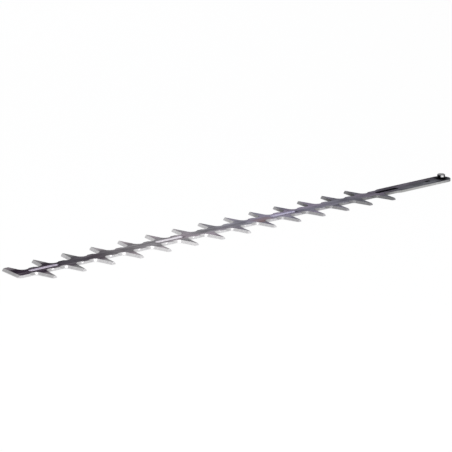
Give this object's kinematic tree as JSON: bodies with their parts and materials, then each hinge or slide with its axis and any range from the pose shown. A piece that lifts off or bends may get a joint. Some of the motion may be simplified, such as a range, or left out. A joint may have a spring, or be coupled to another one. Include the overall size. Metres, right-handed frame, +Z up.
{
  "type": "hedge trimmer blade",
  "caption": "Flat steel cutting blade of a hedge trimmer, with staggered ground teeth along both sides, guide slots on its middle line and a riveted drive pin at the shank end.",
  "frame": {"origin": "on the axis of the drive pin, in the plane of the strip's underside", "axes": "+X along the blade from the drive pin to the nose, +Z up out of the bevelled face, the way the drive pin stands; the row of teeth that starts nearest the shank is on the +Y side"},
  "size_m": [0.5966, 0.0576, 0.0075],
  "materials": {
    "blade": "ground, with bright bevels and a thin film of oil",
    "drive_pin": "turned and hardened"
  },
  "bodies": {
    "root": {"blade": "blade", "drive_pin": "drive_pin"}
  },
  "joints": []
}
